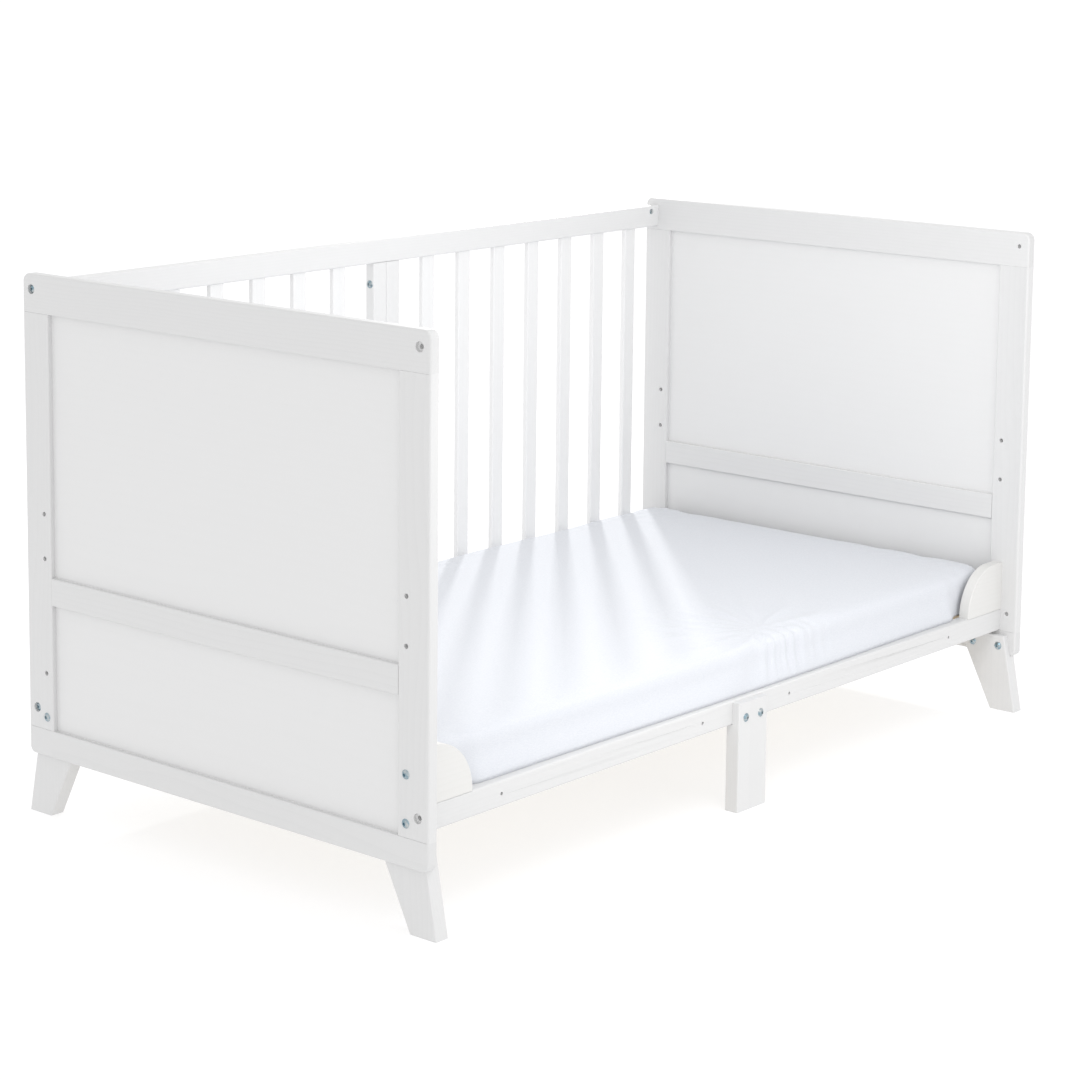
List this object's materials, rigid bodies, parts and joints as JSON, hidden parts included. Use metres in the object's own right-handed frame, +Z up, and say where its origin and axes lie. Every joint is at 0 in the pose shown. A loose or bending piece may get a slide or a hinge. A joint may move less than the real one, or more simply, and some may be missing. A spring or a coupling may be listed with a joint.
{
  "type": "toddler bed",
  "caption": "White slatted cot bed as a toddler bed: panelled ends, barred back, open front with two corner guards, a slatted base and a loose mattress.",
  "frame": {"origin": "on the floor under the centre of the bed's box", "axes": "+X along the bed towards the far end panel, +Y from the open front to the barred back, +Z up"},
  "size_m": [1.4518, 0.798, 0.79],
  "materials": {
    "frame_wood": "satin white glaze over pine",
    "panel_board": "satin white glaze over thin board",
    "side_wood": "satin white glaze over pine",
    "slat_wood": "satin white glaze over pine",
    "leg_wood": "satin white glaze over pine",
    "base_wood": "satin white glaze over pine",
    "guard_wood": "satin ivory-white glaze over pine",
    "lath_wood": "bare planed softwood",
    "dowel_wood": "bare fluted beech",
    "zinc": "bright zinc plated",
    "foam": "open-cell foam",
    "sheet_cloth": "soft white cotton jersey"
  },
  "bodies": {
    "bed_frame": {"left_top_rail": "frame_wood", "left_bottom_rail": "frame_wood", "left_mid_rail": "frame_wood", "left_front_stile": "frame_wood", "left_back_stile": "frame_wood", "left_upper_board": "panel_board", "left_lower_board": "panel_board", "left_front_leg": "leg_wood", "left_back_leg": "leg_wood", "side_top_rail_left": "side_wood", "side_bottom_rail_left": "side_wood", "side_post_left": "side_wood", "base_front_rail_left": "base_wood", "base_back_rail_left": "base_wood", "base_end_rail_left": "base_wood", "base_middle_rail_left": "base_wood", "right_top_rail": "frame_wood", "right_bottom_rail": "frame_wood", "right_mid_rail": "frame_wood", "right_front_stile": "frame_wood", "right_back_stile": "frame_wood", "right_upper_board": "panel_board", "right_lower_board": "panel_board", "right_front_leg": "leg_wood", "right_back_leg": "leg_wood", "side_top_rail_right": "side_wood", "side_bottom_rail_right": "side_wood", "side_post_right": "side_wood", "base_front_rail_right": "base_wood", "base_back_rail_right": "base_wood", "base_end_rail_right": "base_wood", "base_middle_rail_right": "base_wood", "middle_leg": "leg_wood", "side_slat_01": "slat_wood", "side_slat_02": "slat_wood", "side_slat_03": "slat_wood", "side_slat_04": "slat_wood", "side_slat_05": "slat_wood", "side_slat_06": "slat_wood", "side_slat_07": "slat_wood", "side_slat_08": "slat_wood", "side_slat_09": "slat_wood", "side_slat_10": "slat_wood", "side_slat_11": "slat_wood", "side_slat_12": "slat_wood", "side_slat_13": "slat_wood", "side_slat_14": "slat_wood", "mattress_guard_left": "guard_wood", "mattress_guard_right": "guard_wood", "base_laths": "lath_wood", "panel_bolts": "zinc", "leg_bolts": "zinc", "middle_leg_bolts": "zinc", "joining_bolts": "zinc", "sleeve_nuts": "zinc", "barrel_nuts": "zinc", "dowels": "dowel_wood"},
    "mattress": {"mattress_core": "foam", "fitted_sheet": "sheet_cloth"}
  },
  "joints": [
    {"name": "mattress_lift", "type": "slide", "parent": "bed_frame", "child": "mattress", "axis": [0, 0, 1], "range_m": [0, 0.65]}
  ]
}
